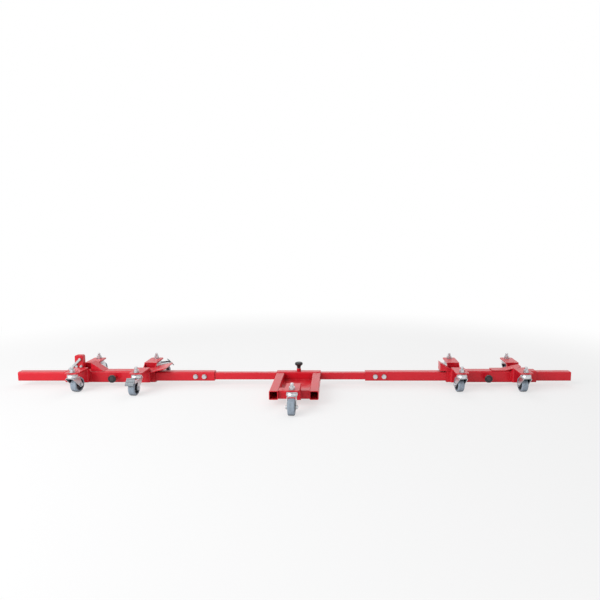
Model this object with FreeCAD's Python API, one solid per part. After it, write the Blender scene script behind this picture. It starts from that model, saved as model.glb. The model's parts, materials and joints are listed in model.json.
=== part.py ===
"""Motorcycle mover dolly: a bolted three-piece beam, two sliding wheel carriages,
a sliding kickstand platform and nine swivel casters. X runs along the beam, +Y away
from the kickstand side, +Z up. Millimetres."""
import FreeCAD, Part
import math
import os

from FreeCAD import Rotation, Vector

# Beam: square tubes that telescope into each other
CENTRE_TUBE = 30.0
CENTRE_WALL = 2.5
RAIL_WALL = 4.5
SLEEVE_WALL = 4.6
NEST_GAP = 0.5
SLIDE_GAP = 0.4
INNER_CORNER = 1.5
GROUND_CLEARANCE = 17.0
FRONT_RAIL_LENGTH = 858.0
REAR_RAIL_LENGTH = 899.0
BEAM_LENGTH = 2416.0
NEST_DEPTH = 110.0
RAIL_BOLT_INSET = 44.0
RAIL_BOLT_PITCH = 38.0

# Carriages, measured along the beam from the joint of their rail
FRONT_CARRIAGE_SET = 432.0
REAR_CARRIAGE_SET = 529.0
STEM_PITCH = 266.0
STEM_OUT = 132.0
SLEEVE_OUTER_END = 84.0
SLEEVE_INNER_END = 42.0

# Casters
WHEEL_D = 63.0
TYRE_W = 27.0
TYRE_DEPTH = 7.5
TYRE_EDGE = 5.0
HUB_BOSS_R = 9.0
HUB_WEB = 8.0
HUB_RIM = 3.0
TRAIL = 28.0
CASTER_H = 84.0
FORK_T = 2.5
FORK_SIDE_GAP = 2.0
FORK_TOP_GAP = 3.0
FORK_BEND = 5.0
FORK_EYE_R = 10.0
FORK_CROWN_R = 22.0
RACE_T = 5.0
RACE_R = 22.0
STEM_R = 6.0
STEM_HEAD_R = 11.0
STEM_HEAD_T = 3.0
STUD_END = 13.0
AXLE_R = 4.0
RUN_FIT = 0.05
RUN_GAP = 0.3
SEAT_GAP = 0.1
HOLE_GAP = 0.3

# Caster brackets, folded from plate
PLATE_T = 5.0
PLATE_W = 55.0
PLATE_TIP = 16.0
PLATE_CORNER = 8.0
GUSSET_T = 4.0
GUSSET_BEND = 5.0
SWING_GAP = 20.0
PLATE_LAP = 6.0
GUSSET_RAISE = 7.0

# Brake pedals
PEDAL_W = 36.0
PEDAL_T = 2.5
PEDAL_RIBS = 5
PEDAL_RIB_H = 1.5
PEDAL_NECK_W = 28.0
PEDAL_BARREL_R = 4.5
PEDAL_PIN_R = 2.0
PEDAL_PIVOT_ANGLE = 50.0
PEDAL_SLOPE = 50.0
PEDAL_CLEAR = 4.0
PEDAL_INNER_GAP = 5.0
EAR_R = 6.0

# Wheel chocks
CHOCK_T = 4.0
CHOCK_SIDE_GAP = 1.0
FRONT_WING_HALF_W = 57.0
REAR_WING_SET = -53.0
WING_FOOT = 56.0
WING_REACH = 70.0
WING_RISE = 17.0
WEDGE_RUN = 56.0
WEDGE_RISE = 37.0
FRONT_WEDGE_SET = 30.0
REAR_WEDGE_SET = -70.0

# Front wheel stop
STOP_NEAR = 9.0
STOP_FAR = 72.0
STOP_TOP_RUN = 36.0
STOP_H = 68.0
STOP_KNEE = 34.0
STOP_TOE = 8.0
STOP_HALF_W = 11.0
STOP_T = 3.0
STOP_CORNER = 8.0
STOP_BOLT_U = 9.0
STOP_BOLT_PITCH = 20.0
STOP_BOLT_GAP = 1.0
STOP_BOLT_R = 3.0
STRUT_W = 9.0
STRUT_T = 4.0
STRUT_END = 5.0
STRUT_LENGTH = 62.0
LUG_MARGIN = 8.0

# Kickstand platform, placed at a share of the centre tube's open length
PLATFORM_SHARE = 0.5584
PLATFORM_W = 192.0
PLATFORM_DEPTH = 304.0
SIDE_TUBE = 35.0
SIDE_WALL = 3.0
CROSS_RECESS = 14.0
CROSS_T = 4.0
CROSS_LEDGE = 40.0
LEDGE_DROP = 2.0
LEDGE_HOLE_R = 3.5
LEDGE_HOLE_INSET = 16.0
PAN_T = 3.0
CENTRE_STEM_REACH = 81.0

# Clamp screws and knobs
CLAMP_SCREW_R = 5.0
CLAMP_BOSS_R = 9.5
CLAMP_BOSS_H = 12.0
CLAMP_TIP_GAP = 0.3
KNOB_R = 17.0
KNOB_H = 24.0
KNOB_NECK_R = 8.0
KNOB_NECK_H = 8.0
KNOB_RIM_H = 9.0
KNOB_STAND = 3.0
KNOB_FLUTES = 8
KNOB_FLUTE_R = 3.0
KNOB_CAP_R = 11.0
KNOB_CAP_DEPTH = 1.5
SCREW_IN_KNOB = 12.0

# Rail fasteners
RAIL_BOLT_R = 5.0
RAIL_BOLT_HEX = 17.0
RAIL_BOLT_HEAD = 6.4
RAIL_NUT_H = 8.0
RAIL_WASHER_R = 10.5
WASHER_T = 2.0
STEM_NUT_HEX = 19.0
STEM_NUT_H = 10.0
AXLE_HEX = 13.0
AXLE_HEAD_H = 5.0
STOP_HEX = 10.0
STOP_HEAD_H = 4.0
STOP_WASHER_R = 6.0

# Heading of each caster at rest: the way its wheel trails from the stem, in degrees
HEADINGS = {
    "front_outer_near": 80.0,
    "front_inner_near": -94.0,
    "front_outer_far": 90.0,
    "front_inner_far": 30.0,
    "rear_inner_near": 97.0,
    "rear_outer_near": 93.0,
    "rear_inner_far": 120.0,
    "rear_outer_far": 60.0,
    "centre": -90.0,
}
BRAKED = ("front_inner_near", "front_inner_far")

# Values that follow from the sizes above
RAIL_TUBE = CENTRE_TUBE + 2 * (NEST_GAP + RAIL_WALL)
SLEEVE_TUBE = RAIL_TUBE + 2 * (SLIDE_GAP + SLEEVE_WALL)
SLIDE_TUBE = CENTRE_TUBE + 2 * (SLIDE_GAP + SLEEVE_WALL)
AXIS_Z = GROUND_CLEARANCE + SLEEVE_TUBE / 2
SLEEVE_TOP = AXIS_Z + SLEEVE_TUBE / 2
WHEEL_R = WHEEL_D / 2
PLATE_TOP = CASTER_H + PLATE_T
FORK_HALF_GAP = TYRE_W / 2 + FORK_SIDE_GAP
FORK_HALF_W = FORK_HALF_GAP + FORK_T
FORK_TOP = WHEEL_D + FORK_TOP_GAP + FORK_T
SWING_R = math.hypot(TRAIL + WHEEL_R, TYRE_W / 2)
CHOCK_HALF_W = SLEEVE_TUBE / 2 - CHOCK_SIDE_GAP
FRONT_WING_SET = PLATE_W / 2 + CHOCK_SIDE_GAP
SWING_ROOM = SWING_R + SWING_GAP
PEDAL_PIVOT_R = WHEEL_R + PEDAL_BARREL_R + PEDAL_CLEAR
CENTRE_STEM_OUT = PLATFORM_DEPTH + CENTRE_STEM_REACH
CROSS_FACE = PLATFORM_DEPTH - CROSS_RECESS
FRONT_END = -BEAM_LENGTH / 2
REAR_END = BEAM_LENGTH / 2
FRONT_JOINT = FRONT_END + FRONT_RAIL_LENGTH
REAR_JOINT = REAR_END - REAR_RAIL_LENGTH
FRONT_CARRIAGE_X = FRONT_JOINT - FRONT_CARRIAGE_SET
REAR_CARRIAGE_X = REAR_JOINT + REAR_CARRIAGE_SET
PLATFORM_X = FRONT_JOINT + PLATFORM_SHARE * (REAR_JOINT - FRONT_JOINT)
RAIL_BOLTS_X = [
    FRONT_JOINT - RAIL_BOLT_INSET,
    FRONT_JOINT - RAIL_BOLT_INSET - RAIL_BOLT_PITCH,
    REAR_JOINT + RAIL_BOLT_INSET,
    REAR_JOINT + RAIL_BOLT_INSET + RAIL_BOLT_PITCH,
]
# The beam stands off the middle so that the whole dolly is centred on the origin
BEAM_Y = (CENTRE_STEM_OUT - STEM_OUT) / 2

X = Vector(1, 0, 0)
Y = Vector(0, 1, 0)
Z = Vector(0, 0, 1)


def block(x0, x1, y0, y1, z0, z1):
    return Part.makeBox(x1 - x0, y1 - y0, z1 - z0, Vector(x0, y0, z0))


def rod(radius, start, direction, length):
    return Part.makeCylinder(radius, length, start, direction)


def hexagon(across_flats, start, direction, length):
    """Hexagonal prism along a direction."""
    radius = across_flats / math.sqrt(3)
    points = [
        Vector(radius * math.cos(math.radians(a)), radius * math.sin(math.radians(a)), 0)
        for a in range(0, 361, 60)
    ]
    prism = Part.Face(Part.makePolygon(points)).extrude(Z * length)
    prism.Placement = FreeCAD.Placement(start, Rotation(Z, direction))
    return prism


def turned(profile):
    """Solid turned about Z from (radius, height) points."""
    points = [Vector(r, 0, z) for r, z in profile]
    return Part.Face(Part.makePolygon(points + points[:1])).revolve(Vector(), Z, 360)


def prism_xz(points, half_width):
    """Prism with an outline in the XZ plane, centred on y = 0."""
    corners = [Vector(x, -half_width, z) for x, z in points]
    return Part.Face(Part.makePolygon(corners + corners[:1])).extrude(Y * (2 * half_width))


def edges_along(solid, axis, test):
    """Straight edges parallel to an axis whose middle passes a test."""
    found = []
    for edge in solid.Edges:
        if edge.Curve.TypeId != "Part::GeomLine":
            continue
        heading = edge.tangentAt(edge.FirstParameter)
        if abs(heading.dot(axis)) > 0.999 and test(edge.CenterOfMass):
            found.append(edge)
    return found


def square_bar(size, corner, length):
    """Square bar along +X from the origin, with rounded long edges."""
    half = size / 2
    bar = block(0, length, -half, half, -half, half)
    return bar.makeFillet(corner, edges_along(bar, X, lambda middle: True))


def square_tube(size, wall, length):
    bore = square_bar(size - 2 * wall, INNER_CORNER, length)
    return square_bar(size, wall + INNER_CORNER, length).cut(bore)


def tube_along_x(size, wall, x0, x1):
    tube = square_tube(size, wall, x1 - x0)
    tube.translate(Vector(x0, 0, AXIS_Z))
    return tube


def mirrored(shape):
    """The same piece on the other side of the beam."""
    return shape.mirror(Vector(), Y)


def save(node, *solids):
    shape = solids[0] if len(solids) == 1 else Part.makeCompound(list(solids))
    shape = shape.copy()
    shape.translate(Vector(0, BEAM_Y, 0))
    shape.exportStep("parts/" + node + ".step")


def drilled_across(tube, x_places, radius):
    """Cross holes through a tube along the beam, parallel to Y."""
    reach = SLEEVE_TUBE
    for x in x_places:
        tube = tube.cut(rod(radius, Vector(x, -reach, AXIS_Z), Y, 2 * reach))
    return tube


def bolt_across(x, z, half_span, radius, across_flats, head_h, nut_h, washer_r, washer_t):
    """Bolt along +Y with a head, a nut and two washers, clamping a width of two half spans."""
    stack = half_span + washer_t
    head = hexagon(across_flats, Vector(x, -stack - head_h, z), Y, head_h)
    shank = rod(radius, Vector(x, -stack, z), Y, 2 * stack + nut_h + radius / 2)
    bolt = head.fuse(shank).removeSplitter()
    bore = rod(radius + SEAT_GAP, Vector(x, -2 * stack, z), Y, 4 * stack + nut_h)
    pieces = [bolt, hexagon(across_flats, Vector(x, stack, z), Y, nut_h).cut(bore)]
    for y in (-stack, half_span):
        pieces.append(rod(washer_r, Vector(x, y, z), Y, washer_t).cut(bore))
    return pieces


def build_beam():
    centre = tube_along_x(CENTRE_TUBE, CENTRE_WALL, FRONT_JOINT - NEST_DEPTH, REAR_JOINT + NEST_DEPTH)
    front = tube_along_x(RAIL_TUBE, RAIL_WALL, FRONT_END, FRONT_JOINT)
    rear = tube_along_x(RAIL_TUBE, RAIL_WALL, REAR_JOINT, REAR_END)
    hole_r = RAIL_BOLT_R + HOLE_GAP
    save("centre_tube", drilled_across(centre, RAIL_BOLTS_X, hole_r))
    save("front_rail", drilled_across(front, RAIL_BOLTS_X[:2], hole_r))
    save("rear_rail", drilled_across(rear, RAIL_BOLTS_X[2:], hole_r))
    bolts = []
    for x in RAIL_BOLTS_X:
        bolts += bolt_across(x, AXIS_Z, RAIL_TUBE / 2, RAIL_BOLT_R, RAIL_BOLT_HEX, RAIL_BOLT_HEAD,
                             RAIL_NUT_H, RAIL_WASHER_R, WASHER_T)
    save("rail_bolts", *bolts)


def caster_bracket(root, web, stem, x):
    """Bracket on a face at y = -root: a folded web with two gussets, and the caster plate on top."""
    half = PLATE_W / 2
    low = GROUND_CLEARANCE + GUSSET_RAISE
    outer = block(x - half, x + half, -web, -root, low, CASTER_H)
    outer = outer.makeFillet(GUSSET_BEND, edges_along(outer, Z, lambda middle: middle.y < -web + 1))
    inner_half = half - GUSSET_T
    inner = block(x - inner_half, x + inner_half, -web + GUSSET_T, -root + 1, low - 1, CASTER_H + 1)
    back = -web + PLATE_LAP
    slope = [(back, CASTER_H), (back, CASTER_H + 1), (1, CASTER_H + 1), (1, SLEEVE_TOP), (-root, SLEEVE_TOP)]
    corners = [Vector(x - half - 1, y, z) for y, z in slope]
    above = Part.Face(Part.makePolygon(corners + corners[:1])).extrude(X * (PLATE_W + 2))
    plate = block(x - half, x + half, -stem - PLATE_TIP, back, CASTER_H, PLATE_TOP)
    plate = plate.makeFillet(PLATE_CORNER, edges_along(plate, Z, lambda middle: middle.y < -stem))
    plate = plate.cut(rod(STEM_R + HOLE_GAP, Vector(x, -stem, CASTER_H - 1), Z, PLATE_T + 2))
    return [outer.cut(inner).cut(above), plate]


def caster_stem(x, y):
    """Stem with its head, the fixed race under the plate, and the washer and nut on top."""
    head_low = FORK_TOP - FORK_T - RUN_GAP - STEM_HEAD_T
    nut_low = PLATE_TOP + WASHER_T
    tip = nut_low + STEM_NUT_H + STUD_END
    stem = turned([(0, head_low), (STEM_HEAD_R, head_low), (STEM_HEAD_R, head_low + STEM_HEAD_T),
                   (STEM_R, head_low + STEM_HEAD_T), (STEM_R, tip - 1), (STEM_R - 1, tip), (0, tip)])
    bore = rod(STEM_R + SEAT_GAP, Vector(), Z, tip)
    race = turned([(0, CASTER_H - RACE_T), (RACE_R - 2, CASTER_H - RACE_T), (RACE_R, CASTER_H - RACE_T + 2),
                   (RACE_R, CASTER_H), (0, CASTER_H)]).cut(bore)
    washer = rod(STEM_NUT_HEX / 2 + 2, Vector(0, 0, PLATE_TOP), Z, WASHER_T).cut(bore)
    nut = hexagon(STEM_NUT_HEX, Vector(0, 0, nut_low), Z, STEM_NUT_H).cut(bore)
    pieces = [stem, race, washer, nut]
    for piece in pieces:
        piece.translate(Vector(x, y, 0))
    return pieces


def pedal_pivot():
    """Brake pivot in the caster's own plane: (along the trail, height)."""
    angle = math.radians(PEDAL_PIVOT_ANGLE)
    return TRAIL + PEDAL_PIVOT_R * math.cos(angle), WHEEL_R + PEDAL_PIVOT_R * math.sin(angle)


def fork(braked):
    """Pressed fork trailing along +X: bent strip, tapered legs, domed raceway, axle bolt and nut."""
    wide = 2 * FORK_CROWN_R + TRAIL + FORK_EYE_R
    outside = block(-wide, wide, -FORK_HALF_W, FORK_HALF_W, 0, FORK_TOP)
    bends = edges_along(outside, X, lambda middle: middle.z > FORK_TOP - 1)
    outside = outside.makeFillet(FORK_BEND, bends)
    inside = block(-wide - 1, wide + 1, -FORK_HALF_GAP, FORK_HALF_GAP, -1, FORK_TOP - FORK_T)
    strip = outside.cut(inside)

    lean = math.atan2(FORK_TOP - WHEEL_R, TRAIL - FORK_EYE_R + FORK_CROWN_R)
    shoulder = FORK_TOP - 2 * FORK_T
    heel = (TRAIL - FORK_EYE_R * math.sin(lean), WHEEL_R - FORK_EYE_R * math.cos(lean))
    legs = [(-FORK_CROWN_R, FORK_TOP + 1), (FORK_CROWN_R, FORK_TOP + 1), (FORK_CROWN_R, shoulder),
            (TRAIL + FORK_EYE_R, WHEEL_R), heel, (-FORK_CROWN_R, shoulder)]
    outline = prism_xz(legs, FORK_HALF_W + 1)
    outline = outline.fuse(rod(FORK_EYE_R, Vector(TRAIL, -FORK_HALF_W - 1, WHEEL_R), Y, 2 * FORK_HALF_W + 2))
    pivot_x, pivot_z = pedal_pivot()
    if braked:
        high = pivot_z + EAR_R
        low = pivot_z - EAR_R
        ears = prism_xz([(0, high), (pivot_x, high), (pivot_x, low), (0, low)], FORK_HALF_W + 1)
        ears = ears.fuse(rod(EAR_R, Vector(pivot_x, -FORK_HALF_W - 1, pivot_z), Y, 2 * FORK_HALF_W + 2))
        clear = block(FORK_CROWN_R, wide, -FORK_HALF_GAP, FORK_HALF_GAP, 0, FORK_TOP + 1)
        outline = outline.fuse(ears.cut(clear))
    yoke = strip.common(outline)

    dome_top = CASTER_H - RACE_T - RUN_GAP
    step = (dome_top - FORK_TOP) / 2
    dome = turned([(0, FORK_TOP), (FORK_CROWN_R, FORK_TOP), (FORK_CROWN_R, FORK_TOP + step),
                   (FORK_CROWN_R - step / 2, dome_top), (0, dome_top)])
    yoke = yoke.fuse(dome).removeSplitter()
    yoke = yoke.cut(rod(STEM_R + RUN_FIT, Vector(), Z, CASTER_H))
    yoke = yoke.cut(rod(AXLE_R + HOLE_GAP, Vector(TRAIL, -2 * FORK_HALF_W, WHEEL_R), Y, 4 * FORK_HALF_W))
    pieces = [yoke]
    if braked:
        through = Vector(pivot_x, -FORK_HALF_W, pivot_z)
        pieces[0] = yoke.cut(rod(PEDAL_PIN_R + SEAT_GAP, through - Y, Y, 2 * FORK_HALF_W + 2))
        pieces.append(rod(PEDAL_PIN_R, through, Y, 2 * FORK_HALF_W))

    head = hexagon(AXLE_HEX, Vector(TRAIL, -FORK_HALF_W - AXLE_HEAD_H, WHEEL_R), Y, AXLE_HEAD_H)
    shank = rod(AXLE_R, Vector(TRAIL, -FORK_HALF_W, WHEEL_R), Y, 2 * FORK_HALF_W + AXLE_HEAD_H + AXLE_R / 2)
    nut = hexagon(AXLE_HEX, Vector(TRAIL, FORK_HALF_W, WHEEL_R), Y, AXLE_HEAD_H)
    nut = nut.cut(rod(AXLE_R + SEAT_GAP, Vector(TRAIL, 0, WHEEL_R), Y, 2 * FORK_HALF_W))
    return pieces + [head.fuse(shank).removeSplitter(), nut]


def lie_on_axle(solid):
    """A turned piece laid on the axle, across the caster's plane."""
    solid.Placement = FreeCAD.Placement(Vector(TRAIL, 0, WHEEL_R), Rotation(Z, Y))
    return solid


def wheel_hub():
    half = TYRE_W / 2
    rim_r = WHEEL_R - TYRE_DEPTH
    flank = half - TYRE_EDGE / 2
    web = HUB_WEB / 2
    bore = AXLE_R + RUN_FIT
    boss = half + FORK_SIDE_GAP / 2
    upper = [(bore, boss), (HUB_BOSS_R - 1, boss), (HUB_BOSS_R, web), (rim_r - HUB_RIM, web),
             (rim_r - HUB_RIM + 1, flank), (rim_r, flank)]
    lower = [(r, -z) for r, z in reversed(upper)]
    return lie_on_axle(turned(upper + lower))


def wheel_tyre():
    half = TYRE_W / 2
    inner = WHEEL_R - TYRE_DEPTH + SEAT_GAP
    blank = turned([(inner, -half), (WHEEL_R, -half), (WHEEL_R, half), (inner, half)])
    circles = [e for e in blank.Edges if e.Curve.TypeId == "Part::GeomCircle"]
    shoulders = [e for e in circles if e.Curve.Radius > inner + 1]
    return lie_on_axle(blank.makeFillet(TYRE_EDGE, shoulders))


def brake_pedal():
    """Ribbed tread plate over the fork's ears, leaning down from a barrel round the brake pin."""
    pivot_x, pivot_z = pedal_pivot()
    lean = math.radians(PEDAL_SLOPE)
    under = EAR_R + RUN_GAP
    face = under + PEDAL_T + PEDAL_RIB_H
    headroom = CASTER_H - PEDAL_INNER_GAP - pivot_z - face * math.cos(lean)
    up = headroom / math.sin(lean)
    reach = math.sqrt((SWING_ROOM - PEDAL_CLEAR) ** 2 - (PEDAL_W / 2) ** 2)
    down = (reach - pivot_x - face * math.sin(lean)) / math.cos(lean)
    wide = PEDAL_W / 2
    pedal = block(-up, down, -wide, wide, under, under + PEDAL_T)
    pitch = (up + down) / PEDAL_RIBS
    for i in range(PEDAL_RIBS):
        start = (i + 0.25) * pitch - up
        pedal = pedal.fuse(block(start, start + pitch / 2, -wide, wide, under + PEDAL_T / 2, face))
    half = FORK_HALF_GAP - RUN_GAP
    barrel = rod(PEDAL_BARREL_R, Vector(0, -half, 0), Y, 2 * half)
    wall = PEDAL_BARREL_R / 2
    neck = block(-wall, wall, -PEDAL_NECK_W / 2, PEDAL_NECK_W / 2, 0, under + PEDAL_T / 2)
    pedal = pedal.fuse([barrel, neck]).removeSplitter()
    pedal = pedal.cut(rod(PEDAL_PIN_R + RUN_FIT, Vector(0, -half - 1, 0), Y, 2 * half + 2))
    pedal.rotate(Vector(), Y, PEDAL_SLOPE)
    pedal.translate(Vector(pivot_x, 0, pivot_z))
    return pedal


def stem_places():
    """Stem position of every caster, from the beam's axis."""
    places = {"centre": (PLATFORM_X, -CENTRE_STEM_OUT)}
    for end, middle, outward in (("front", FRONT_CARRIAGE_X, -1), ("rear", REAR_CARRIAGE_X, 1)):
        for along, sign in (("outer", outward), ("inner", -outward)):
            for side, y in (("near", -STEM_OUT), ("far", STEM_OUT)):
                places["_".join((end, along, side))] = (middle + sign * STEM_PITCH / 2, y)
    return places


def build_casters():
    for name, (x, y) in stem_places().items():
        braked = name in BRAKED
        groups = {"_fork": fork(braked), "_wheel_hub": [wheel_hub()], "_tyre": [wheel_tyre()]}
        if braked:
            groups["_brake_pedal"] = [brake_pedal()]
        for suffix, pieces in groups.items():
            placed = []
            for piece in pieces:
                turned_piece = piece.copy()
                turned_piece.rotate(Vector(), Z, HEADINGS[name])
                turned_piece.translate(Vector(x, y, 0))
                placed.append(turned_piece)
            save(name + suffix, *placed)


def clamp_boss(direction, start, wall):
    """Boss on a sleeve's face, drilled through for the clamp screw."""
    boss = rod(CLAMP_BOSS_R, start, direction, CLAMP_BOSS_H)
    below = start - direction * wall
    return boss.cut(rod(CLAMP_SCREW_R + RUN_FIT, below, direction, CLAMP_BOSS_H + 2 * wall))


def clamp_screw(direction, face, reach):
    """Screw from the tube that it presses on, through the boss, into the knob."""
    length = reach - CLAMP_TIP_GAP + CLAMP_BOSS_H + KNOB_STAND + SCREW_IN_KNOB
    return rod(CLAMP_SCREW_R, face + direction * (CLAMP_TIP_GAP - reach), direction, length)


def clamp_knob(direction, face):
    """Fluted round knob with a sunk cap, on a neck."""
    rim = KNOB_H - KNOB_RIM_H
    knob = turned([(0, 0), (KNOB_NECK_R, 0), (KNOB_NECK_R + 1, KNOB_NECK_H), (KNOB_R - 2, rim - 2),
                   (KNOB_R, rim), (KNOB_R, KNOB_H - 3), (KNOB_R - 3, KNOB_H), (KNOB_CAP_R, KNOB_H),
                   (KNOB_CAP_R - 1, KNOB_H - KNOB_CAP_DEPTH), (0, KNOB_H - KNOB_CAP_DEPTH)])
    for i in range(KNOB_FLUTES):
        angle = 2 * math.pi * i / KNOB_FLUTES
        spot = Vector(math.cos(angle), math.sin(angle), 0) * (KNOB_R + KNOB_FLUTE_R / 2)
        knob = knob.cut(rod(KNOB_FLUTE_R, spot, Z, KNOB_H))
    knob = knob.cut(rod(CLAMP_SCREW_R + SEAT_GAP, Vector(), Z, SCREW_IN_KNOB + SEAT_GAP))
    stand = face + direction * (CLAMP_BOSS_H + KNOB_STAND)
    knob.Placement = FreeCAD.Placement(stand, Rotation(Z, direction))
    return knob


def build_clamp(node, direction, face, reach, wall):
    save(node + "_clamp_boss", clamp_boss(direction, face, wall))
    save(node + "_clamp_screw", clamp_screw(direction, face, reach))
    save(node + "_clamp_knob", clamp_knob(direction, face))


def chock_pair(middle, wedge_set, wing_set, wing_half):
    """Wedge before the tyre and long wing behind it, both on the sleeve's top."""
    root = middle + STEM_PITCH / 2 + wing_set
    tip = root + WING_REACH
    top = SLEEVE_TOP + CHOCK_T
    foot = block(root - WING_FOOT, root, -CHOCK_HALF_W, CHOCK_HALF_W, SLEEVE_TOP, top)
    bent = [(root, SLEEVE_TOP), (root, top), (tip, top + WING_RISE), (tip, SLEEVE_TOP + WING_RISE)]
    wing = prism_xz(bent, wing_half)
    ends = [e for e in wing.Edges if abs(e.CenterOfMass.x - tip) < 1 and e.Length < 2 * CHOCK_T]
    wing = foot.fuse(wing.makeFillet(PLATE_CORNER, ends)).removeSplitter()

    back = middle - STEM_PITCH / 2 + wedge_set
    toe = back + WEDGE_RUN
    rise = SLEEVE_TOP + WEDGE_RISE
    wedge = prism_xz([(toe, SLEEVE_TOP), (back, rise), (back, SLEEVE_TOP)], CHOCK_HALF_W)
    climb = WEDGE_RISE / WEDGE_RUN
    fall = CHOCK_T * math.hypot(1, climb)
    start = toe - 2 * CHOCK_T
    end = back + CHOCK_T
    under = SLEEVE_TOP - 1
    hollow = [(start, under), (start, SLEEVE_TOP + 2 * CHOCK_T * climb - fall),
              (end, rise - CHOCK_T * climb - fall), (end, under)]
    return [wing, wedge.cut(prism_xz(hollow, CHOCK_HALF_W - CHOCK_T))]


def along_beam(piece, middle, outward):
    """A carriage piece, modelled with +X outward, put on its end of the beam."""
    placed = piece.mirror(Vector(), X) if outward < 0 else piece.copy()
    placed.translate(Vector(middle, 0, 0))
    return placed


def build_carriage(end, middle, outward, chocks):
    inner = middle - outward * (STEM_PITCH / 2 + SLEEVE_INNER_END)
    outer = middle + outward * (STEM_PITCH / 2 + SLEEVE_OUTER_END)
    sleeve = tube_along_x(SLEEVE_TUBE, SLEEVE_WALL, min(inner, outer), max(inner, outer))
    face = Vector(middle, -SLEEVE_TUBE / 2, AXIS_Z)
    sleeve = sleeve.cut(rod(CLAMP_SCREW_R + HOLE_GAP, face - Y, Y, SLEEVE_WALL + 2))
    save(end + "_sleeve", sleeve)

    brackets = []
    stems = []
    for sign in (-1, 1):
        x = middle + sign * STEM_PITCH / 2
        for piece in caster_bracket(SLEEVE_TUBE / 2, STEM_OUT - SWING_ROOM, STEM_OUT, x):
            brackets += [piece, mirrored(piece)]
        for y in (-STEM_OUT, STEM_OUT):
            stems += caster_stem(x, y)
    save(end + "_caster_brackets", *brackets)
    save(end + "_caster_stems", *stems)
    save(end + "_wheel_chocks", *chocks)
    build_clamp(end, -Y, face, SLEEVE_WALL + SLIDE_GAP, SLEEVE_WALL)


def build_front_stop():
    """Hooded stop at the front carriage's outer end: bolted to a lug, braced by two struts."""
    base = STEM_PITCH / 2
    near = base + STOP_NEAR
    far = base + STOP_FAR
    top = SLEEVE_TOP + STOP_H
    ridge = near + STOP_TOP_RUN
    knee = SLEEVE_TOP + STOP_KNEE
    toe = SLEEVE_TOP + STOP_TOE
    outline = [(near, SLEEVE_TOP), (near, top), (ridge, top), (ridge, knee), (far, toe), (far, SLEEVE_TOP)]
    hood = prism_xz(outline, STOP_HALF_W)
    hood = hood.makeFillet(STOP_CORNER, edges_along(hood, Y, lambda middle: middle.z > top - 1))
    inside = STOP_HALF_W - STOP_T
    hood = hood.cut(block(near + STOP_T, far + 1, -inside, inside, SLEEVE_TOP - 1, top - STOP_T))

    slope = Vector(far - ridge, 0, toe - knee)
    slope.normalize()
    inset = Vector(slope.z, 0, -slope.x) * (STRUT_W / 2)
    foot = Vector(far, 0, toe) + inset - slope * STRUT_END
    head = foot - slope * STRUT_LENGTH
    outside = STOP_HALF_W + SEAT_GAP
    strut = Part.makeBox(STRUT_LENGTH, STRUT_T, STRUT_W, Vector(0, 0, -STRUT_W / 2))
    for end in (0, STRUT_LENGTH):
        strut = strut.fuse(rod(STRUT_W / 2, Vector(end, 0, 0), Y, STRUT_T))
    strut = strut.removeSplitter()
    strut.rotate(Vector(), Y, math.degrees(math.atan2(-slope.z, slope.x)))
    strut.translate(head + Y * outside)

    bolts_u = [near + STOP_BOLT_U, near + STOP_BOLT_U + STOP_BOLT_PITCH]
    under_strut = STRUT_W / 2 + STOP_BOLT_GAP + STOP_WASHER_R
    bolt_z = head.z + ((bolts_u[1] - head.x) * slope.z - under_strut) / slope.x
    lug_half = inside - SEAT_GAP
    lug = block(near + STOP_T + SEAT_GAP, bolts_u[1] + LUG_MARGIN, -lug_half, lug_half,
                SLEEVE_TOP, bolt_z + LUG_MARGIN)

    hole_r = STOP_BOLT_R + HOLE_GAP
    bolts = []
    for u in bolts_u:
        cut = rod(hole_r, Vector(u, -2 * STOP_HALF_W, bolt_z), Y, 4 * STOP_HALF_W)
        hood = hood.cut(cut)
        lug = lug.cut(cut)
        bolts += bolt_across(u, bolt_z, STOP_HALF_W, STOP_BOLT_R, STOP_HEX, STOP_HEAD_H,
                             STOP_HEAD_H, STOP_WASHER_R, WASHER_T / 2)
    for place in (head, foot):
        strut = strut.cut(rod(hole_r, Vector(place.x, 0, place.z), Y, 4 * STOP_HALF_W))
        hood = hood.cut(rod(hole_r, Vector(place.x, -2 * STOP_HALF_W, place.z), Y, 4 * STOP_HALF_W))
        bolts += bolt_across(place.x, place.z, outside + STRUT_T, STOP_BOLT_R, STOP_HEX, STOP_HEAD_H,
                             STOP_HEAD_H, STOP_HEX / 2, WASHER_T / 2)
    groups = {"front_wheel_stop": [hood], "front_stop_lug": [lug], "front_stop_bolts": bolts,
              "front_stop_struts": [strut, mirrored(strut)]}
    for node, pieces in groups.items():
        save(node, *[along_beam(piece, FRONT_CARRIAGE_X, -1) for piece in pieces])


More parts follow.
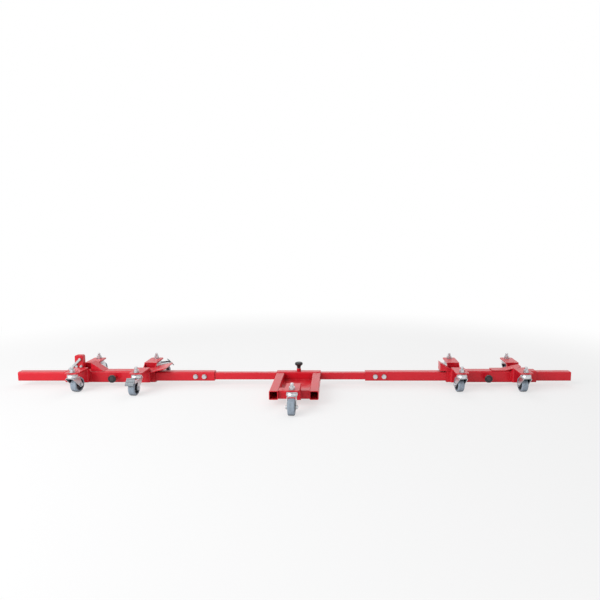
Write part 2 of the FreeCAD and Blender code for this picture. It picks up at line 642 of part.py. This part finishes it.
def build_platform():
    left = PLATFORM_X - PLATFORM_W / 2
    right = PLATFORM_X + PLATFORM_W / 2
    sleeve = tube_along_x(SLIDE_TUBE, SLEEVE_WALL, left, right)
    top = Vector(PLATFORM_X, 0, AXIS_Z + SLIDE_TUBE / 2)
    hole = rod(CLAMP_SCREW_R + HOLE_GAP, top - Z * (SLEEVE_WALL + 1), Z, SLEEVE_WALL + 2)
    save("platform_sleeve", sleeve.cut(hole))

    arms = []
    for x in (left + SIDE_TUBE / 2, right - SIDE_TUBE / 2):
        arm = square_tube(SIDE_TUBE, SIDE_WALL, PLATFORM_DEPTH - SLIDE_TUBE / 2)
        arm.rotate(Vector(), Z, -90)
        arm.translate(Vector(x, -SLIDE_TUBE / 2, AXIS_Z))
        arms.append(arm)
    save("platform_side_tubes", *arms)

    inner_left = left + SIDE_TUBE
    inner_right = right - SIDE_TUBE
    low = AXIS_Z - SIDE_TUBE / 2
    high = AXIS_Z + SIDE_TUBE / 2 - LEDGE_DROP
    angle = block(inner_left, inner_right, -CROSS_FACE, -CROSS_FACE + CROSS_LEDGE, low, high)
    hollow = block(inner_left - 1, inner_right + 1, -CROSS_FACE + CROSS_T, 0, low - 1, high - CROSS_T)
    crease = edges_along(angle, X, lambda middle: middle.z > high - 1 and middle.y < -CROSS_FACE + 1)
    angle = angle.makeFillet(CROSS_T, crease).cut(hollow)
    hole = Vector(inner_left + LEDGE_HOLE_INSET, -CROSS_FACE + CROSS_LEDGE / 2, 0)
    save("platform_front_angle", angle.cut(rod(LEDGE_HOLE_R, hole, Z, high + 1)))

    pan = block(inner_left + RUN_GAP, inner_right - RUN_GAP, -CROSS_FACE + CROSS_LEDGE + RUN_GAP,
                -SLIDE_TUBE / 2 - RUN_GAP, low, low + PAN_T)
    save("kickstand_plate", pan)
    save("platform_caster_bracket",
         *caster_bracket(CROSS_FACE, CENTRE_STEM_OUT - SWING_ROOM, CENTRE_STEM_OUT, PLATFORM_X))
    save("platform_caster_stem", *caster_stem(PLATFORM_X, -CENTRE_STEM_OUT))
    build_clamp("platform", Z, top, SLEEVE_WALL + SLIDE_GAP, SLEEVE_WALL)


os.makedirs("parts", exist_ok=True)
build_beam()
front_chocks = chock_pair(FRONT_CARRIAGE_X, FRONT_WEDGE_SET, FRONT_WING_SET, FRONT_WING_HALF_W)
build_carriage("front", FRONT_CARRIAGE_X, -1, front_chocks)
rear_chocks = chock_pair(REAR_CARRIAGE_X, REAR_WEDGE_SET, REAR_WING_SET, CHOCK_HALF_W)
build_carriage("rear", REAR_CARRIAGE_X, 1, rear_chocks)
build_front_stop()
build_platform()
build_casters()
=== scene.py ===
"""Looks of the motorcycle mover dolly: paint, plating, plastics, weld beads, threads and
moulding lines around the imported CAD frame. Metres, +Z up, the CAD's own frame."""

import json
import math

import bmesh
import bpy
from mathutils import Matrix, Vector


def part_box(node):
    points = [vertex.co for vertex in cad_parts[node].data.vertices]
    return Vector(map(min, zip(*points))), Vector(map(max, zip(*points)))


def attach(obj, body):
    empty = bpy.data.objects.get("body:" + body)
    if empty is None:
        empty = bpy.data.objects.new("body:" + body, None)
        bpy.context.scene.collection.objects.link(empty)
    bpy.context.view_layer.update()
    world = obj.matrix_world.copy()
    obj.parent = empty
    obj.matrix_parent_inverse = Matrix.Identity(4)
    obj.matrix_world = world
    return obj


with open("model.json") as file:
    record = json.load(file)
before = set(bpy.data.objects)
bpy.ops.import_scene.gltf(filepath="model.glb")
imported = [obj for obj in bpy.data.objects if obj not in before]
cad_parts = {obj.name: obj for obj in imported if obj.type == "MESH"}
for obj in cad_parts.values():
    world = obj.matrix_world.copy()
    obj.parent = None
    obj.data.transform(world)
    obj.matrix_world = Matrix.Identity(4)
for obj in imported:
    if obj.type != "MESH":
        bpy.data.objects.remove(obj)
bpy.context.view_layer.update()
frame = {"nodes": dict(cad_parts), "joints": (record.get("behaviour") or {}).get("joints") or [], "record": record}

MM = 0.001
UP = Vector((0, 0, 1))
NEARWARD = Vector((0, -1, 0))
ENDS = ("front", "rear")
ALONG = ("_outer", "_inner")
ACROSS = ("_near", "_far")
CASTERS = [end + along + side for end in ENDS for along in ALONG for side in ACROSS]
CASTERS.append("centre")


# Shader wiring

# Colour sockets of the Mix node, which keeps one set of sockets for each data type.
MIX_FACTOR, MIX_LOW, MIX_HIGH, MIX_RESULT = 0, 6, 7, 2
BEVEL_SAMPLES = 4
RECESS_SAMPLES = 4
RECESS_RANGE = (0.2, 0.85)


class Wire:
    """A shader socket that joins in Python arithmetic; each step adds a node."""

    def __init__(self, tree, socket):
        self.tree = tree
        self.socket = socket

    def node(self, kind, settings, inputs, output=0):
        """Any node: its settings first, then the values or wires of its sockets."""
        made = self.tree.nodes.new(kind)
        for name, value in settings.items():
            setattr(made, name, value)
        for key, value in inputs.items():
            if isinstance(value, Wire):
                self.tree.links.new(value.socket, made.inputs[key])
            else:
                made.inputs[key].default_value = value
        return Wire(self.tree, made.outputs[output])

    def math(self, operation, first, second):
        return self.node("ShaderNodeMath", {"operation": operation}, {0: first, 1: second})

    def __add__(self, other):
        return self.math("ADD", self, other)

    __radd__ = __add__

    def __mul__(self, other):
        return self.math("MULTIPLY", self, other)

    __rmul__ = __mul__

    def __sub__(self, other):
        return self.math("SUBTRACT", self, other)

    def __rsub__(self, other):
        return self.math("SUBTRACT", other, self)

    def above(self, low, high):
        """0 below low, 1 above high, smooth between."""
        return self.node("ShaderNodeMapRange", {"interpolation_type": "SMOOTHSTEP"},
                         {"Value": self, "From Min": low, "From Max": high})

    def stretched(self, x, y, z):
        """A place scaled along each axis, for marks that run one way."""
        return self.node("ShaderNodeVectorMath", {"operation": "MULTIPLY"},
                         {0: self, 1: (x, y, z)})

    def grain(self, scale, detail=3.0, rough=0.5):
        """Soft noise from 0 to 1, with features of about 1/scale metres."""
        return self.node("ShaderNodeTexNoise", {},
                         {"Vector": self, "Scale": scale, "Detail": detail, "Roughness": rough})

    def specks(self, scale):
        """Distance to scattered points."""
        return self.node("ShaderNodeTexVoronoi", {}, {"Vector": self, "Scale": scale})

    def tint(self, low, high):
        """A colour between two, by this value."""
        return self.node("ShaderNodeMix", {"data_type": "RGBA"},
                         {MIX_FACTOR: self, MIX_LOW: colour(low), MIX_HIGH: colour(high)},
                         MIX_RESULT)


def colour(value):
    """A wire as it is, or three numbers as an opaque colour."""
    return value if isinstance(value, Wire) else (*value, 1.0)


class Finish:
    """One material: a principled surface with wires for its places and faces."""

    def __init__(self, name):
        self.material = bpy.data.materials.new(name)
        self.material.use_nodes = True
        self.tree = self.material.node_tree
        self.shader = self.tree.nodes["Principled BSDF"]
        self.start = Wire(self.tree, None)
        self.place = self.start.node("ShaderNodeTexCoord", {}, {}, "Object")
        normal = self.start.node("ShaderNodeNewGeometry", {}, {}, "Normal")
        self.upward = self.start.node("ShaderNodeSeparateXYZ", {}, {0: normal}, "Z")

    def rounded(self, radius):
        """Normals eased over sharp edges, as paint and plating do."""
        return self.start.node("ShaderNodeBevel", {"samples": BEVEL_SAMPLES}, {"Radius": radius})

    def painted_recess_shade(self, reach):
        """Painted shade: 1 deep between close surfaces, where shade would fall, and 0 in the open."""
        # Ambient occlusion turned into a colour mask: painted shade, not dirt.
        open_share = self.start.node("ShaderNodeAmbientOcclusion", {"samples": RECESS_SAMPLES},
                                     {"Distance": reach}, "AO")
        return 1 - open_share.above(*RECESS_RANGE)

    def dented(self, height, depth, normal):
        """A normal with fine relief of the given depth."""
        return self.start.node("ShaderNodeBump", {},
                               {"Height": height, "Distance": depth, "Normal": normal})

    def set(self, **sockets):
        """Sets or wires the surface's sockets, and gives the finished material."""
        for name, value in sockets.items():
            socket = self.shader.inputs[name.replace("_", " ")]
            if isinstance(value, Wire):
                self.tree.links.new(value.socket, socket)
            else:
                socket.default_value = value
        return self.material


# Finishes

RED_SHADES = ((0.62, 0.010, 0.022), (0.72, 0.014, 0.030))
RED_SCUFFED = (0.80, 0.16, 0.16)
RED_DUSTY = (0.78, 0.52, 0.50)
# Deep red painted in as shade in recesses, and how far that painted shade reaches.
RED_PAINTED_SHADE = (0.20, 0.003, 0.008)
RED_SHADE_REACH = 30 * MM
RED_EDGE = 0.9 * MM
PEEL_DEPTH = 0.06 * MM


def red_powder_coat():
    """Glossy red coat with orange peel, faint dust on top faces, small scuffs and painted shade in recesses."""
    f = Finish("red_powder_coat")
    peel = f.place.grain(scale=900, detail=2.0)
    drift = f.place.grain(scale=14)
    streak = f.place.stretched(6, 60, 60).grain(scale=9, detail=4.0, rough=0.6)
    patch = f.place.grain(scale=45, detail=4.0)
    scuff = streak.above(0.66, 0.76) * patch.above(0.5, 0.66)
    settled = f.place.grain(scale=26, detail=5.0, rough=0.65)
    dust = f.upward.above(0.6, 0.95) * settled.above(0.42, 0.75)
    worn = (scuff * 0.55).tint(drift.tint(*RED_SHADES), RED_SCUFFED)
    dusty = (dust * 0.16).tint(worn, RED_DUSTY)
    return f.set(
        # Base colour darkened towards deep red where surfaces crowd close: painted shade.
        Base_Color=(f.painted_recess_shade(RED_SHADE_REACH) * 0.55).tint(dusty, RED_PAINTED_SHADE),
        Roughness=0.24 + drift * 0.10 + scuff * 0.22 + dust * 0.16,
        Coat_Weight=0.15 - dust * 0.10,
        Coat_Roughness=0.16,
        Specular_IOR_Level=0.27,
        Normal=f.dented(peel + scuff * -0.8, PEEL_DEPTH, f.rounded(RED_EDGE)),
    )


BRIGHT_ZINC_SHADES = ((0.48, 0.50, 0.54), (0.76, 0.76, 0.76))
BRIGHT_ZINC_ROUGHNESS = 0.20
DULL_ZINC_SHADES = ((0.20, 0.22, 0.24), (0.30, 0.32, 0.34))
DULL_ZINC_ROUGHNESS = 0.46
ZINC_PIT = (0.30, 0.30, 0.30)
# Near-black painted in as shade in the plating's recesses, and how far that painted shade reaches.
ZINC_PAINTED_SHADE = (0.030, 0.034, 0.045)
ZINC_SHADE_REACH = 16 * MM
ZINC_EDGE = 0.5 * MM
RUB_DEPTH = 0.05 * MM


def zinc_plate(name, shades, roughness):
    """Zinc plate: cool metal with faint spangle, rub marks, dull pits and painted shade in recesses."""
    f = Finish(name)
    cloud = f.place.grain(scale=70, detail=4.0)
    rub = f.place.stretched(1, 1, 9).grain(scale=320, rough=0.6)
    pit = 1 - f.place.specks(scale=260).above(0.05, 0.22)
    painted_shade = f.painted_recess_shade(ZINC_SHADE_REACH)
    tone = (pit * 0.35).tint(cloud.tint(*shades), ZINC_PIT)
    return f.set(
        # Base colour darkened where surfaces crowd close: painted shade.
        Base_Color=(painted_shade * 0.85).tint(tone, ZINC_PAINTED_SHADE),
        Metallic=1 - pit * 0.25,
        Roughness=roughness + cloud * 0.16 + rub * 0.10 + pit * 0.2,
        Normal=f.dented(rub * 0.6 + cloud * 0.8, RUB_DEPTH, f.rounded(ZINC_EDGE)),
    )


TREAD_SHADES = ((0.24, 0.30, 0.37), (0.35, 0.41, 0.48))
TREAD_DIRT = (0.13, 0.14, 0.16)
# Near-black painted in as shade in the tread's recesses, and how far that painted shade reaches.
TREAD_PAINTED_SHADE = (0.040, 0.045, 0.055)
TREAD_SHADE_REACH = 20 * MM
TREAD_EDGE = 0.8 * MM
TREAD_SCUFF_DEPTH = 0.12 * MM


def grey_tread():
    """Blue-grey rubber tread, scuffed and dusty, with painted shade in recesses."""
    f = Finish("grey_tread")
    cloud = f.place.grain(scale=60, detail=4.0)
    scuff = f.place.grain(scale=420, detail=4.0, rough=0.7)
    dirt = f.place.grain(scale=110, detail=5.0, rough=0.7).above(0.52, 0.74)
    tone = (dirt * 0.45).tint(cloud.tint(*TREAD_SHADES), TREAD_DIRT)
    return f.set(
        # Base colour darkened where surfaces crowd close: painted shade.
        Base_Color=(f.painted_recess_shade(TREAD_SHADE_REACH) * 0.7).tint(tone, TREAD_PAINTED_SHADE),
        Roughness=0.46 + scuff * 0.2 + dirt * 0.12,
        Normal=f.dented(scuff + dirt * 0.5, TREAD_SCUFF_DEPTH, f.rounded(TREAD_EDGE)),
    )


HUB_SHADES = ((0.035, 0.040, 0.050), (0.065, 0.070, 0.080))
HUB_DUST = (0.30, 0.29, 0.28)
HUB_EDGE = 0.6 * MM
HUB_PEBBLE_DEPTH = 0.06 * MM


def hub_plastic():
    """Dark grey moulded wheel centre."""
    f = Finish("hub_plastic")
    cloud = f.place.grain(scale=90, detail=4.0)
    pebble = f.place.grain(scale=1500, detail=2.0)
    dust = f.place.grain(scale=50, detail=5.0, rough=0.7).above(0.5, 0.8)
    return f.set(
        Base_Color=(dust * 0.3).tint(cloud.tint(*HUB_SHADES), HUB_DUST),
        Roughness=0.42 + cloud * 0.16 + dust * 0.2,
        Normal=f.dented(pebble, HUB_PEBBLE_DEPTH, f.rounded(HUB_EDGE)),
    )


KNOB_SHADES = ((0.009, 0.009, 0.010), (0.018, 0.018, 0.020))
CAP_SHADES = ((0.024, 0.026, 0.029), (0.042, 0.044, 0.048))
KNOB_RUBBED = (0.14, 0.14, 0.14)
KNOB_EDGE = 0.7 * MM
KNOB_PEBBLE_DEPTH = 0.08 * MM


def knob_plastic(name, shades):
    """Black moulded grip, finely pebbled and rubbed pale in patches."""
    f = Finish(name)
    cloud = f.place.grain(scale=120, detail=4.0)
    pebble = f.place.grain(scale=1800, detail=2.0)
    rub = f.place.grain(scale=260, detail=4.0, rough=0.6).above(0.58, 0.74)
    return f.set(
        Base_Color=(rub * 0.25).tint(cloud.tint(*shades), KNOB_RUBBED),
        Roughness=0.38 + pebble * 0.12 + rub * 0.15,
        Normal=f.dented(pebble + rub * 0.4, KNOB_PEBBLE_DEPTH, f.rounded(KNOB_EDGE)),
    )


RED = red_powder_coat()
ZINC = zinc_plate("bright_zinc", BRIGHT_ZINC_SHADES, BRIGHT_ZINC_ROUGHNESS)
PEDAL = zinc_plate("dull_zinc", DULL_ZINC_SHADES, DULL_ZINC_ROUGHNESS)
TREAD = grey_tread()
HUB = hub_plastic()
KNOB = knob_plastic("knob_plastic", KNOB_SHADES)
CAP = knob_plastic("cap_plastic", CAP_SHADES)
FINISHES = {"red_paint": RED, "zinc": ZINC, "tread": TREAD, "hub": HUB, "knob": KNOB}


def dress_frame():
    """The record's material slots, in their finishes; brake pedals get the dull plate."""
    for subpart in frame["record"]["subparts"]:
        node = frame["nodes"][subpart["node"]]
        node.data.materials.clear()
        pedal = subpart["node"].endswith("_brake_pedal")
        node.data.materials.append(PEDAL if pedal else FINISHES[subpart["material_slot"]])


# Meshes

SEAM = 0.001 * MM
STUD_SIDES = 28


def add_piece(name, mesh, finish, body, smooth=True):
    """A finished mesh that moves with a CAD body."""
    for face in mesh.faces:
        face.smooth = smooth
    data = bpy.data.meshes.new(name)
    mesh.to_mesh(data)
    mesh.free()
    data.materials.append(finish)
    piece = bpy.data.objects.new(name, data)
    bpy.context.scene.collection.objects.link(piece)
    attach(piece, body)


def join_rings(mesh, rings, closed_ends=True):
    """Quads between rings of points, with or without capped ends."""
    rows = [[mesh.verts.new(point) for point in ring] for ring in rings]
    count = len(rows[0])
    for low, high in zip(rows, rows[1:]):
        for i in range(count):
            j = (i + 1) % count
            mesh.faces.new((low[i], low[j], high[j], high[i]))
    if closed_ends:
        mesh.faces.new(rows[0][::-1])
        mesh.faces.new(rows[-1])


def turn_profile(mesh, profile, axis_start, axis, sides=STUD_SIDES, ring=False):
    """Turns (radius, distance) points about an axis, with capped ends or closed into a ring."""
    along = axis.normalized()
    across = along.orthogonal().normalized()
    third = along.cross(across)
    angles = [2 * math.pi * i / sides for i in range(sides)]
    rings = []
    for radius, distance in profile:
        centre = axis_start + along * distance
        rings.append([centre + (across * math.cos(a) + third * math.sin(a)) * radius
                      for a in angles])
    join_rings(mesh, rings + rings[:1] if ring else rings, closed_ends=not ring)
    bmesh.ops.remove_doubles(mesh, verts=mesh.verts, dist=SEAM)


def node_box(node):
    """The low and high corners of a node's box."""
    return [Vector(c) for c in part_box(node)]


def corner(node, x_side, y_side, z_side):
    """A place on a node's box: -1 low, 0 middle, 1 high on each axis."""
    low, high = node_box(node)
    middle = (low + high) / 2
    half = (high - low) / 2
    return Vector((middle.x + x_side * half.x, middle.y + y_side * half.y,
                   middle.z + z_side * half.z))


def find_joint(name):
    """A joint of the record, by its name."""
    return next(j for j in frame["joints"] if j["name"] == name)


def stem_place(caster):
    """Where a caster's swivel axis stands, from its joint."""
    return Vector(find_joint(caster + "_swivel")["pos_m"])


# Weld beads

WELD_R = 2.4 * MM
WELD_STEP = 0.8 * MM
WELD_LEAST_STEPS = 8
WELD_RIPPLE = 2.6 * MM
WELD_VALLEY = 0.82
WELD_CREST = 0.18
WELD_END = 0.35
WELD_END_RISE = 6
WELD_SIDES = 8
PLATE_HALF = 27.5 * MM
SLEEVE_ROUND = 6.5 * MM
BRACKET_LOW = 24.0 * MM


def lay_weld(mesh, start, end):
    """Rippled weld bead from one point to another, thinner at its ends."""
    run = end - start
    steps = max(WELD_LEAST_STEPS, int(run.length / WELD_STEP))
    profile = []
    for i in range(steps + 1):
        along = run.length * i / steps
        ripple = abs(math.sin(math.pi * along / WELD_RIPPLE))
        ease = min(1.0, WELD_END + WELD_END_RISE * min(i, steps - i) / steps)
        profile.append((WELD_R * ease * (WELD_VALLEY + WELD_CREST * ripple), along))
    turn_profile(mesh, profile, start, run, sides=WELD_SIDES)


def weld_up(mesh, x, y, z_low, z_high):
    """An upright bead."""
    lay_weld(mesh, Vector((x, y, z_low)), Vector((x, y, z_high)))


def weld_carriage(end):
    """Beads where the bracket gussets meet the sleeve's sides."""
    mesh = bmesh.new()
    low, high = node_box(end + "_sleeve")
    for along in ALONG:
        for side, y in zip(ACROSS, (low.y, high.y)):
            stem = stem_place(end + along + side)
            for edge in (-PLATE_HALF, PLATE_HALF):
                weld_up(mesh, stem.x + edge, y, BRACKET_LOW, high.z - SLEEVE_ROUND)
    add_piece(end + "_bracket_welds", mesh, RED, end + "_carriage")


def weld_stop():
    """Beads along the foot of the wheel stop."""
    mesh = bmesh.new()
    for side in (-1, 1):
        lay_weld(mesh, corner("front_wheel_stop", -1, side, -1),
                 corner("front_wheel_stop", 1, side, -1))
    add_piece("front_stop_welds", mesh, RED, "front_carriage")


def weld_platform():
    """Beads across the arms' tops at the sleeve, up the caster bracket's and the front angle's
    sides, and round the kickstand plate."""
    mesh = bmesh.new()
    low, high = node_box("platform_side_tubes")
    angle_low, angle_high = node_box("platform_front_angle")
    pan_low, pan_high = node_box("kickstand_plate")
    arm = high.x - angle_high.x
    for x in (low.x, high.x - arm):
        start = Vector((x + SLEEVE_ROUND, high.y, high.z))
        lay_weld(mesh, start, start + Vector((arm - 2 * SLEEVE_ROUND, 0, 0)))
    stem = stem_place("centre")
    for x in (stem.x - PLATE_HALF, stem.x + PLATE_HALF, angle_low.x, angle_high.x):
        weld_up(mesh, x, angle_low.y, angle_low.z, angle_high.z - SLEEVE_ROUND)
    for x in (pan_low.x, pan_high.x):
        lay_weld(mesh, Vector((x, pan_low.y, pan_high.z)), Vector((x, pan_high.y, pan_high.z)))
    for y in (pan_low.y, pan_high.y):
        lay_weld(mesh, Vector((pan_low.x, y, pan_high.z)), Vector((pan_high.x, y, pan_high.z)))
    add_piece("platform_welds", mesh, RED, "platform")


# Pan, threads, mould lines and caps

ANGLE_WALL = 4.0 * MM


def close_pan():
    """The plate that closes the kickstand pan under the front angle's ledge."""
    low, high = node_box("kickstand_plate")
    front = corner("platform_front_angle", 0, -1, 0).y + ANGLE_WALL
    outline = [(low.x, front), (high.x, front), (high.x, low.y), (low.x, low.y)]
    mesh = bmesh.new()
    join_rings(mesh, [[Vector((x, y, z)) for x, y in outline] for z in (low.z, high.z)])
    add_piece("kickstand_pan_front", mesh, RED, "platform", smooth=False)


STUD_R = 6.0 * MM
STUD_THREAD = 7.0 * MM
STUD_CHAMFER = 1.2 * MM
THREAD_PITCH = 1.5 * MM
THREAD_DEPTH = 0.5 * MM
THREAD_LIFT = 0.02 * MM


def thread_profile(radius, length):
    """Ridges of a thread along a stud, their roots just clear of it."""
    root = radius + THREAD_LIFT
    points = [(root, 0.0)]
    for i in range(int(length / THREAD_PITCH)):
        points.append((radius + THREAD_DEPTH, (i + 0.5) * THREAD_PITCH))
        points.append((root, (i + 1) * THREAD_PITCH))
    return points


def thread_studs(body, node, casters):
    """Thread ridges on the free ends of the caster studs."""
    mesh = bmesh.new()
    foot = node_box(node)[1].z - STUD_THREAD - STUD_CHAMFER
    for caster in casters:
        stem = stem_place(caster)
        turn_profile(mesh, thread_profile(STUD_R, STUD_THREAD),
                     Vector((stem.x, stem.y, foot)), UP)
    add_piece(node + "_threads", mesh, ZINC, body)


TYRE_R = 31.5 * MM
MOULD_LINE_W = 0.7 * MM
MOULD_LINE_H = 0.25 * MM
MOULD_LINE_ROOT = 0.4 * MM
MOULD_LINE_SIDES = 64


def mould_line(caster):
    """The fine parting line round a tread."""
    joint = find_joint(caster + "_roll")
    inner = TYRE_R - MOULD_LINE_ROOT
    outer = TYRE_R + MOULD_LINE_H
    half = MOULD_LINE_W / 2
    profile = [(inner, -half), (outer, -half / 2), (outer, half / 2), (inner, half)]
    mesh = bmesh.new()
    turn_profile(mesh, profile, Vector(joint["pos_m"]), Vector(joint["axis"]),
                 sides=MOULD_LINE_SIDES, ring=True)
    add_piece(caster + "_mould_line", mesh, TREAD, caster + "_wheel")


CAP_R = 9.6 * MM
CAP_T = 1.0 * MM
CAP_RIM_T = 0.6 * CAP_T
CAP_EDGE = 1.2 * MM
CAP_PIP_R = 1.0 * MM
CAP_SINK = 1.4 * MM
CAP_SIDES = 40


def knob_cap(place, outward):
    """The grey cap in a clamp knob's face."""
    knob = place + "_clamp_knob"
    low, high = node_box(knob)
    reach = abs((high - low).dot(outward)) / 2
    start = corner(knob, 0, 0, 0) + outward * (reach - CAP_SINK)
    profile = [(CAP_R, 0), (CAP_R, CAP_RIM_T), (CAP_R - CAP_EDGE, CAP_T), (CAP_PIP_R, CAP_T)]
    mesh = bmesh.new()
    turn_profile(mesh, profile, start, outward, sides=CAP_SIDES)
    add_piece(place + "_knob_cap", mesh, CAP, place + "_clamp")


# Studio

WHITE = (1, 1, 1, 1)
FLOOR_COLOUR = (0.93, 0.93, 0.935, 1)
FLOOR_HALF = 30
FLOOR_DROP = 0.2 * MM
FLOOR_GLOW = 0.62
FLOOR_FADE = (1.3, 2.6)
SURROUND_LIGHT = 0.42
# Each lamp's place, size in metres and power in watts, aimed at the origin.
LAMPS = {
    "key": ((-2.5, -2.2, 2.1), 3.0, 112.0),
    "fill": ((2.6, -2.6, 2.4), 2.0, 4.0),
    "back": ((0.4, 2.6, 2.8), 2.4, 24.0),
}


def seen_directly(start):
    """1 for what the camera sees, also in metal and through glass."""
    rays = [start.node("ShaderNodeLightPath", {}, {}, ray)
            for ray in ("Is Camera Ray", "Is Glossy Ray", "Is Transmission Ray")]
    return (rays[0] + rays[1] + rays[2]).above(0.4, 0.6)


def floor_finish():
    """Pale floor that keeps soft shadows and fades to white away from the dolly."""
    material = bpy.data.materials.new("studio_floor")
    material.use_nodes = True
    tree = material.node_tree
    tree.nodes.clear()
    start = Wire(tree, None)
    diffuse = start.node("ShaderNodeBsdfDiffuse", {}, {"Color": FLOOR_COLOUR})
    glow = start.node("ShaderNodeEmission", {}, {"Color": WHITE, "Strength": 1.0})
    place = start.node("ShaderNodeTexCoord", {}, {}, "Object")
    distance = start.node("ShaderNodeVectorMath", {"operation": "LENGTH"}, {0: place}, "Value")
    away = distance.above(*FLOOR_FADE)
    mask = seen_directly(start) * (FLOOR_GLOW + away * (1 - FLOOR_GLOW))
    mixed = start.node("ShaderNodeMixShader", {}, {0: mask, 1: diffuse, 2: glow})
    output = tree.nodes.new("ShaderNodeOutputMaterial")
    tree.links.new(mixed.socket, output.inputs[0])
    return material


def add_floor():
    """The studio floor, just below the wheels."""
    mesh = bmesh.new()
    bmesh.ops.create_grid(mesh, x_segments=1, y_segments=1, size=FLOOR_HALF)
    data = bpy.data.meshes.new("floor")
    mesh.to_mesh(data)
    mesh.free()
    data.materials.append(floor_finish())
    floor = bpy.data.objects.new("floor", data)
    floor.location.z = -FLOOR_DROP
    bpy.context.scene.collection.objects.link(floor)


def add_light():
    """A surround that looks white and lights gently, and three soft lamps."""
    world = bpy.data.worlds.new("studio")
    world.use_nodes = True
    bpy.context.scene.world = world
    background = world.node_tree.nodes["Background"]
    start = Wire(world.node_tree, None)
    strength = SURROUND_LIGHT + seen_directly(start) * (1 - SURROUND_LIGHT)
    background.inputs["Color"].default_value = WHITE
    world.node_tree.links.new(strength.socket, background.inputs["Strength"])
    for name, (place, size, power) in LAMPS.items():
        data = bpy.data.lights.new(name, "AREA")
        data.size = size
        data.energy = power
        lamp = bpy.data.objects.new(name, data)
        lamp.location = place
        lamp.rotation_euler = (-Vector(place)).to_track_quat("-Z", "Y").to_euler()
        bpy.context.scene.collection.objects.link(lamp)


IMAGE_SIDE = 600.0
FOCAL_PX = 553.1
SHIFT_PX = 35.9
SENSOR = 36.0
CAMERA_PLACE = (0.1808, -2.2525, 0.6630)
CAMERA_PITCH = -6.864
LEVEL = 90


def add_camera():
    """The camera, level along the beam and looking slightly down."""
    data = bpy.data.cameras.new("camera")
    data.sensor_width = SENSOR
    data.lens = SENSOR * FOCAL_PX / IMAGE_SIDE
    data.shift_x = -SHIFT_PX / IMAGE_SIDE
    camera = bpy.data.objects.new("camera", data)
    camera.location = CAMERA_PLACE
    camera.rotation_euler = (math.radians(LEVEL + CAMERA_PITCH), 0, 0)
    bpy.context.scene.collection.objects.link(camera)
    bpy.context.scene.camera = camera


dress_frame()
for end in ENDS:
    weld_carriage(end)
    casters = [caster for caster in CASTERS if caster.startswith(end)]
    thread_studs(end + "_carriage", end + "_caster_stems", casters)
    knob_cap(end, NEARWARD)
knob_cap("platform", UP)
weld_stop()
weld_platform()
close_pan()
thread_studs("platform", "platform_caster_stem", ["centre"])
for caster in CASTERS:
    mould_line(caster)
add_floor()
add_light()
add_camera()
bpy.context.scene.view_settings.view_transform = "Standard"
